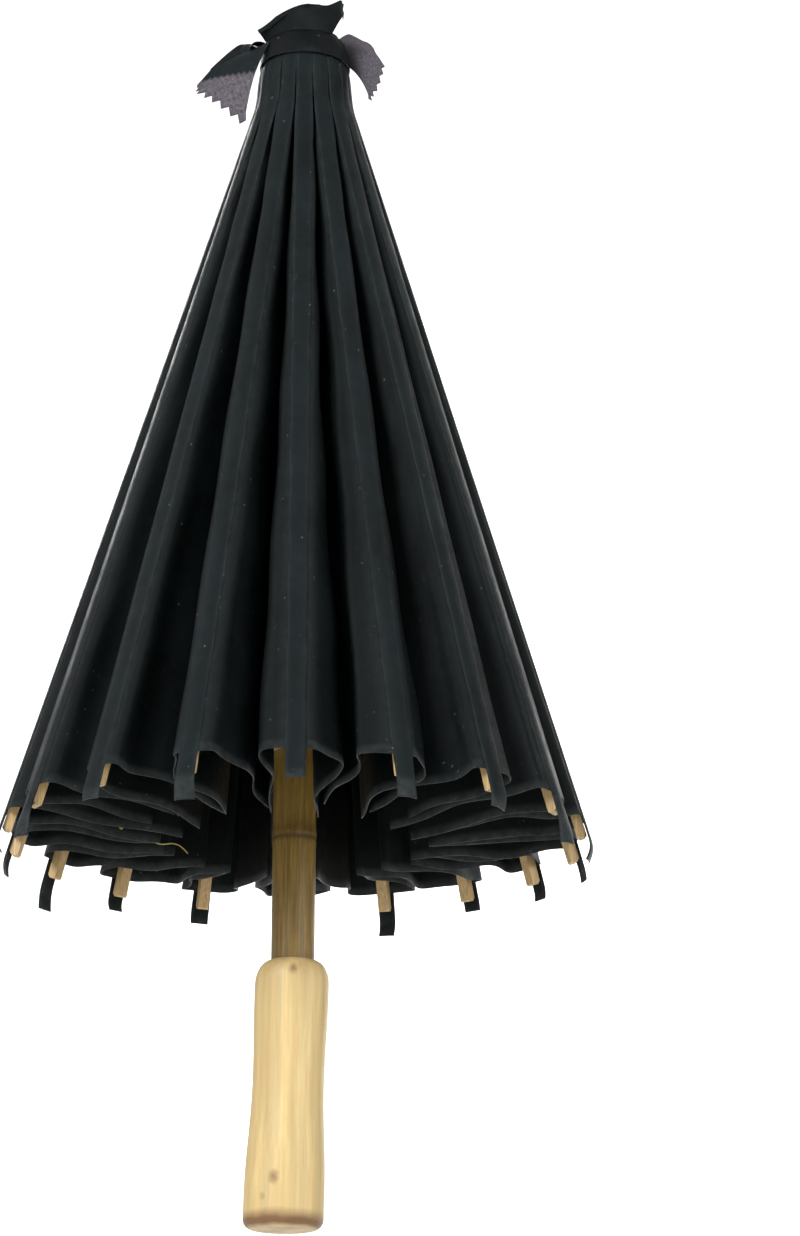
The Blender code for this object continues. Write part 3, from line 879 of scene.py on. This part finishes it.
def make_tie():
    """Wound ribbon: a band that narrows upwards by 2.4 mm t and bulges with sin(pi t)^0.6."""
    columns, rows = 144, 15
    a = np.arange(columns)[None, :] * math.tau / columns
    t = np.linspace(0.0, 1.0, rows)[:, None]
    bulge = 0.0006 * np.sin(math.pi * t) ** 0.6
    radius = 0.0226 - 0.0024 * t + bulge + 0.00015 * np.sin(5 * a + 6 * t)
    height = TIE_HEIGHT - TIE_WIDTH * (1 - t) + 0.0004 * np.sin(2 * a + 1.0)
    points = around(a, radius, height)
    where = np.stack(np.broadcast_arrays(a / math.tau * 0.5, t * 0.05), -1)
    piece = mesh_piece("head_tie", points, grid_faces(rows, columns, wrap=True), where)
    edges = np.zeros((rows, columns))
    edges[[0, -1]] = 0.35
    paint(piece, "marks_and_painted_light", edges)
    finish_piece(piece, ROOT, kept_cloth("tie_ribbon", 0.6))
    thicken(piece, 0.0005, 1.0)
    flatten_when_open(piece)


# ---------------------------------------------------------------- handle, pole and frame finish

HANDLE_LEAN = (0.0029, 0.0005)  # how far the foot stands off the pole's line
SOCKET_RADIUS = 0.0103
DOME_HEIGHT = 0.011
SIDE_TOP, SIDE_FOOT = HANDLE_TOP - 0.013, 0.012
FOOT_ROUND, FOOT_HEIGHT = 0.0042, 0.0048
POLE_FOOT = HANDLE_TOP - 0.006  # the pole's lower end, in the handle's socket
POLE_NODE = HANDLE_TOP + 0.059


def make_handle():
    """Turned grip; the profile is a domed shoulder, a waist in a sine squared, a rounded foot.
    The grip is fitted a little askew: its foot stands off the pole's line by HANDLE_LEAN."""
    foot_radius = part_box("handle")[1].x
    waist = foot_radius - 0.0019
    shoulder = foot_radius - 0.0010
    t = np.linspace(0, 1, 22)
    turn = t * math.pi / 2
    dome_r = SOCKET_RADIUS + (shoulder - SOCKET_RADIUS) * np.sin(turn)
    dome_z = HANDLE_TOP - DOME_HEIGHT * (1 - np.cos(turn))
    z = np.linspace(SIDE_TOP, SIDE_FOOT, 60)
    s = (SIDE_TOP - z) / (HANDLE_TOP - 0.025)
    side_r = shoulder + (foot_radius - shoulder) * smooth((s - 0.55) / 0.45) - (
        shoulder - waist) * np.sin(math.pi * np.clip(s * 1.15, 0, 1)) ** 2
    foot_r = foot_radius - FOOT_ROUND * (1 - np.cos(turn))
    foot_z = FOOT_HEIGHT * (1 - np.sin(turn))
    radius = np.concatenate([[0.0, SOCKET_RADIUS], dome_r, side_r, foot_r, [0.0]])
    height = np.concatenate([[POLE_FOOT, POLE_FOOT], dome_z, z, foot_z, [0.0]])
    points = turned_points(radius, height, 96,
                           lambda h, a: 0.00012 * np.sin(2 * a + 40 * h) * (h > 0.001))
    points[..., :2] -= (1 - points[..., 2:] / HANDLE_TOP) * np.array(HANDLE_LEAN)
    piece = mesh_piece("pine_handle", points, grid_faces(len(radius), 96, wrap=True))
    finish_piece(piece, ROOT, kept("pine_wood", pine_material))
    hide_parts("handle")
    merge_ends(piece)


def make_pole():
    """Bamboo shaft: at its node the radius has a raised ring, exp(-x^2), and a fine groove."""
    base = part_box("pole")[1].y - 0.0006
    z = np.linspace(POLE_TOP, POLE_FOOT, 420)
    ring = (0.0005 * np.exp(-((z - POLE_NODE) / 0.0035) ** 2)
            - 0.0004 * np.exp(-((z - POLE_NODE + 0.0012) / 0.0009) ** 2))
    radius = np.concatenate([[0.0], base + ring, [0.0]])
    height = np.concatenate([[z[0]], z, [z[-1]]])
    points = turned_points(radius, height, 64, lambda h, a: 0.00010 * np.sin(3 * a + 25 * h))
    piece = mesh_piece("bamboo_pole", points, grid_faces(len(radius), 64, wrap=True))
    scar = (0.5 * np.exp(-((height - POLE_NODE + 0.0012) / 0.0011) ** 2)
            + 0.25 * np.exp(-((height - POLE_NODE) / 0.006) ** 2))
    paint(piece, "marks_and_painted_light", np.repeat(np.clip(scar, 0, 1), 64))
    finish_piece(piece, ROOT, kept("bamboo_skin", bamboo_pole_material))
    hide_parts("pole")
    merge_ends(piece)


def finish_frame_nodes():
    """Gives the carried-over solids their wood."""
    bamboo = kept("split_bamboo", split_bamboo_material)
    wood = kept("turned_wood_grain", split_bamboo_material, "turned_wood_grain", 0.55)
    for name, node in frame["nodes"].items():
        if name.startswith(("rib_", "stretcher_", "stop_pin", "runner", "top_notch")):
            node.data.materials.clear()
            turned = name in ("runner", "top_notch")
            node.data.materials.append(wood if turned else bamboo)


LACING_RADIUS = 0.00035
WRAP_DOWN, WRAP_LENGTH = -0.0155, 0.0024  # from the joint down the rib
WRAP_OUT, WRAP_SIDE = 0.0027, 0.0030  # half the rib's depth and width, thread included


def lacing():
    return kept("lacing_thread", thread_material, "lacing_thread", (0.62, 0.50, 0.12))


def make_rib_threads():
    """Three turns of thread round each rib at its stretcher joint, as a rounded-box helix."""
    thread = lacing()
    a = np.linspace(0, 3 * math.tau, 96)
    for label in RIBS:
        _, along, out, side = rib_frame(label)
        joint = np.array(JOINTS["stretcher_hinge_" + label]["pos_m"])
        reach = 1 / (np.abs(np.cos(a)) ** 6 + np.abs(np.sin(a)) ** 6) ** (1 / 6)
        down = WRAP_DOWN + WRAP_LENGTH * a / a[-1]
        path = (joint + down[:, None] * along + (reach * np.sin(a) * WRAP_OUT)[:, None] * out
                + (reach * np.cos(a) * WRAP_SIDE)[:, None] * side + 0.0002 * out)
        piece = tube_piece("rib_thread_" + label, path, LACING_RADIUS, a)
        finish_piece(piece, "rib_" + label, thread)


THREAD_PANEL = "canopy_panel_10"
THREAD_START = (-0.0800, -0.0141, 0.1850)
THREAD_RADIUS = 0.0003


def make_loose_thread():
    """A cut end of lacing inside the cloth, from a small knot of crossed loops: x = 32 mm t,
    y = 6 mm t + 3 mm sin(5 t), z = -14 mm t^1.5 + 2 mm sin(9 t)."""
    thread = lacing()
    t = np.linspace(0.0, 1.0, 90)
    start = np.array(THREAD_START)
    path = start + np.stack([0.032 * t, 0.006 * t + 0.003 * np.sin(5 * t),
                             -0.014 * t ** 1.5 + 0.002 * np.sin(9 * t)], -1)
    piece = tube_piece("loose_thread", path, THREAD_RADIUS, t * 4)
    finish_piece(piece, THREAD_PANEL, thread)
    a = np.linspace(0.0, math.tau, 160)
    loops = start + 0.0016 * np.stack([np.sin(2 * a), np.cos(3 * a), np.sin(5 * a)], -1)
    knot = tube_piece("thread_knot", loops, THREAD_RADIUS, a, closed=True)
    finish_piece(knot, THREAD_PANEL, thread)


# ---------------------------------------------------------------- stage

def plain_material(name, colour):
    made, tree, shader = new_material(name)
    surface(tree, shader, (*colour, 1.0), 0.9)
    return made


def make_floor():
    """A pale floor that curves up into a backdrop: a quarter circle joins the two."""
    reach, bend = 6.0, 1.2
    t = np.linspace(0, math.pi / 2, 24)
    y = np.concatenate([[-reach], 3.0 + bend * np.sin(t), [3.0 + bend]])
    z = np.concatenate([[0.0], bend * (1 - np.cos(t)), [6.0]]) - 0.42
    x = np.linspace(-reach, reach, 3)
    points = np.stack(np.broadcast_arrays(x[None, :], y[:, None], z[:, None]), -1)
    piece = mesh_piece("studio_floor", points, grid_faces(len(y), 3), flip=True)
    piece.data.materials.append(plain_material("studio_paper", (0.80, 0.79, 0.77)))


def add_area_light(name, place, target, size, power, colour=(1, 1, 1)):
    light = bpy.data.lights.new(name, "AREA")
    light.shape = "DISK"
    light.size = size
    light.energy = power
    light.color = colour
    made = bpy.data.objects.new(name, light)
    made.location = place
    made.rotation_euler = (Vector(target) - Vector(place)).to_track_quat("-Z", "Y").to_euler()
    bpy.context.scene.collection.objects.link(made)


def add_camera():
    """Low camera that looks up at the half-closed canopy from below the rim."""
    turn = math.radians(280.0)
    distance, height, pitch, roll = 1.478, -0.206, math.radians(18.49), math.radians(0.76)
    camera = bpy.data.cameras.new("camera")
    camera.sensor_fit = "VERTICAL"
    camera.sensor_height = 24.0
    camera.lens = 63.77
    camera.shift_x = 0.0830
    camera.clip_start = 0.02
    made = bpy.data.objects.new("camera", camera)
    made.location = (distance * math.cos(turn), distance * math.sin(turn), height)
    look = Euler((math.pi / 2 + pitch, 0.0, turn + math.pi / 2), "XYZ")
    made.rotation_euler = (look.to_matrix() @ Euler((0, 0, roll)).to_matrix()).to_euler()
    bpy.context.scene.collection.objects.link(made)
    bpy.context.scene.camera = made


def make_lights():
    middle = (0.0, 0.0, 0.35)
    add_area_light("key", (-0.9, -1.9, 1.3), middle, 0.9, 42)
    add_area_light("fill", (1.7, -1.1, 0.5), middle, 1.2, 13)
    add_area_light("rim", (-0.6, 1.6, 1.4), middle, 1.0, 20)
    add_area_light("backdrop", (0.3, 2.2, 0.9), (0.0, 4.4, 1.4), 2.4, 160)
    world = bpy.data.worlds.new("studio")
    world.use_nodes = True
    sky = world.node_tree.nodes["Background"].inputs
    sky["Color"].default_value = (0.92, 0.94, 0.97, 1.0)
    sky["Strength"].default_value = 0.50
    bpy.context.scene.world = world
    bpy.context.scene.view_settings.view_transform = "Standard"


# ---------------------------------------------------------------- operators and panel

class PleatsOperator(bpy.types.Operator):
    """Make the oiled cloth pleats of the canopy"""
    bl_idname = "umbrella.pleats"
    bl_label = "Canopy pleats"

    def execute(self, context):
        make_pleats()
        return {"FINISHED"}


class StripsOperator(bpy.types.Operator):
    """Make the cloth strips that cover the ribs"""
    bl_idname = "umbrella.strips"
    bl_label = "Cover strips"

    def execute(self, context):
        make_strips()
        return {"FINISHED"}


class HeadClothOperator(bpy.types.Operator):
    """Make the head cloth, its flaps and the ribbon that ties it"""
    bl_idname = "umbrella.head_cloth"
    bl_label = "Head cloth"

    def execute(self, context):
        make_head_cover()
        make_flaps()
        make_tie()
        return {"FINISHED"}


class HandleOperator(bpy.types.Operator):
    """Make the turned pine handle"""
    bl_idname = "umbrella.handle"
    bl_label = "Handle"

    def execute(self, context):
        make_handle()
        return {"FINISHED"}


class PoleOperator(bpy.types.Operator):
    """Make the bamboo pole"""
    bl_idname = "umbrella.pole"
    bl_label = "Pole"

    def execute(self, context):
        make_pole()
        return {"FINISHED"}


class FrameOperator(bpy.types.Operator):
    """Finish ribs, stretchers, notch and runner, and wind their threads"""
    bl_idname = "umbrella.frame"
    bl_label = "Frame and threads"

    def execute(self, context):
        finish_frame_nodes()
        make_rib_threads()
        make_loose_thread()
        return {"FINISHED"}


class StageOperator(bpy.types.Operator):
    """Set up the floor, the lights and the camera"""
    bl_idname = "umbrella.stage"
    bl_label = "Stage"

    def execute(self, context):
        add_camera()
        make_floor()
        make_lights()
        return {"FINISHED"}


OPERATORS = (StageOperator, PleatsOperator, StripsOperator, HeadClothOperator, HandleOperator,
             PoleOperator, FrameOperator)


class UmbrellaPanel(bpy.types.Panel):
    bl_label = "Oil paper umbrella"
    bl_idname = "VIEW3D_PT_umbrella"
    bl_space_type = "VIEW_3D"
    bl_region_type = "UI"
    bl_category = "Umbrella"

    def draw(self, context):
        for settings in (sizes(), colours()):
            for name in settings.bl_rna.properties.keys():
                if name not in ("rna_type", "name"):
                    self.layout.prop(settings, name)
        for operator in OPERATORS:
            self.layout.operator(operator.bl_idname)


CLASSES = (UmbrellaSizes, UmbrellaColours, *OPERATORS, UmbrellaPanel)


def register():
    for made in CLASSES:
        bpy.utils.register_class(made)
    bpy.types.Scene.umbrella_sizes = bpy.props.PointerProperty(type=UmbrellaSizes)
    bpy.types.Scene.umbrella_colours = bpy.props.PointerProperty(type=UmbrellaColours)


def unregister():
    del bpy.types.Scene.umbrella_colours
    del bpy.types.Scene.umbrella_sizes
    for made in reversed(CLASSES):
        bpy.utils.unregister_class(made)


def main():
    register()
    bpy.ops.umbrella.stage()
    bpy.ops.umbrella.pleats()
    bpy.ops.umbrella.strips()
    bpy.ops.umbrella.head_cloth()
    bpy.ops.umbrella.handle()
    bpy.ops.umbrella.pole()
    bpy.ops.umbrella.frame()


if __name__ == "__main__":
    main()
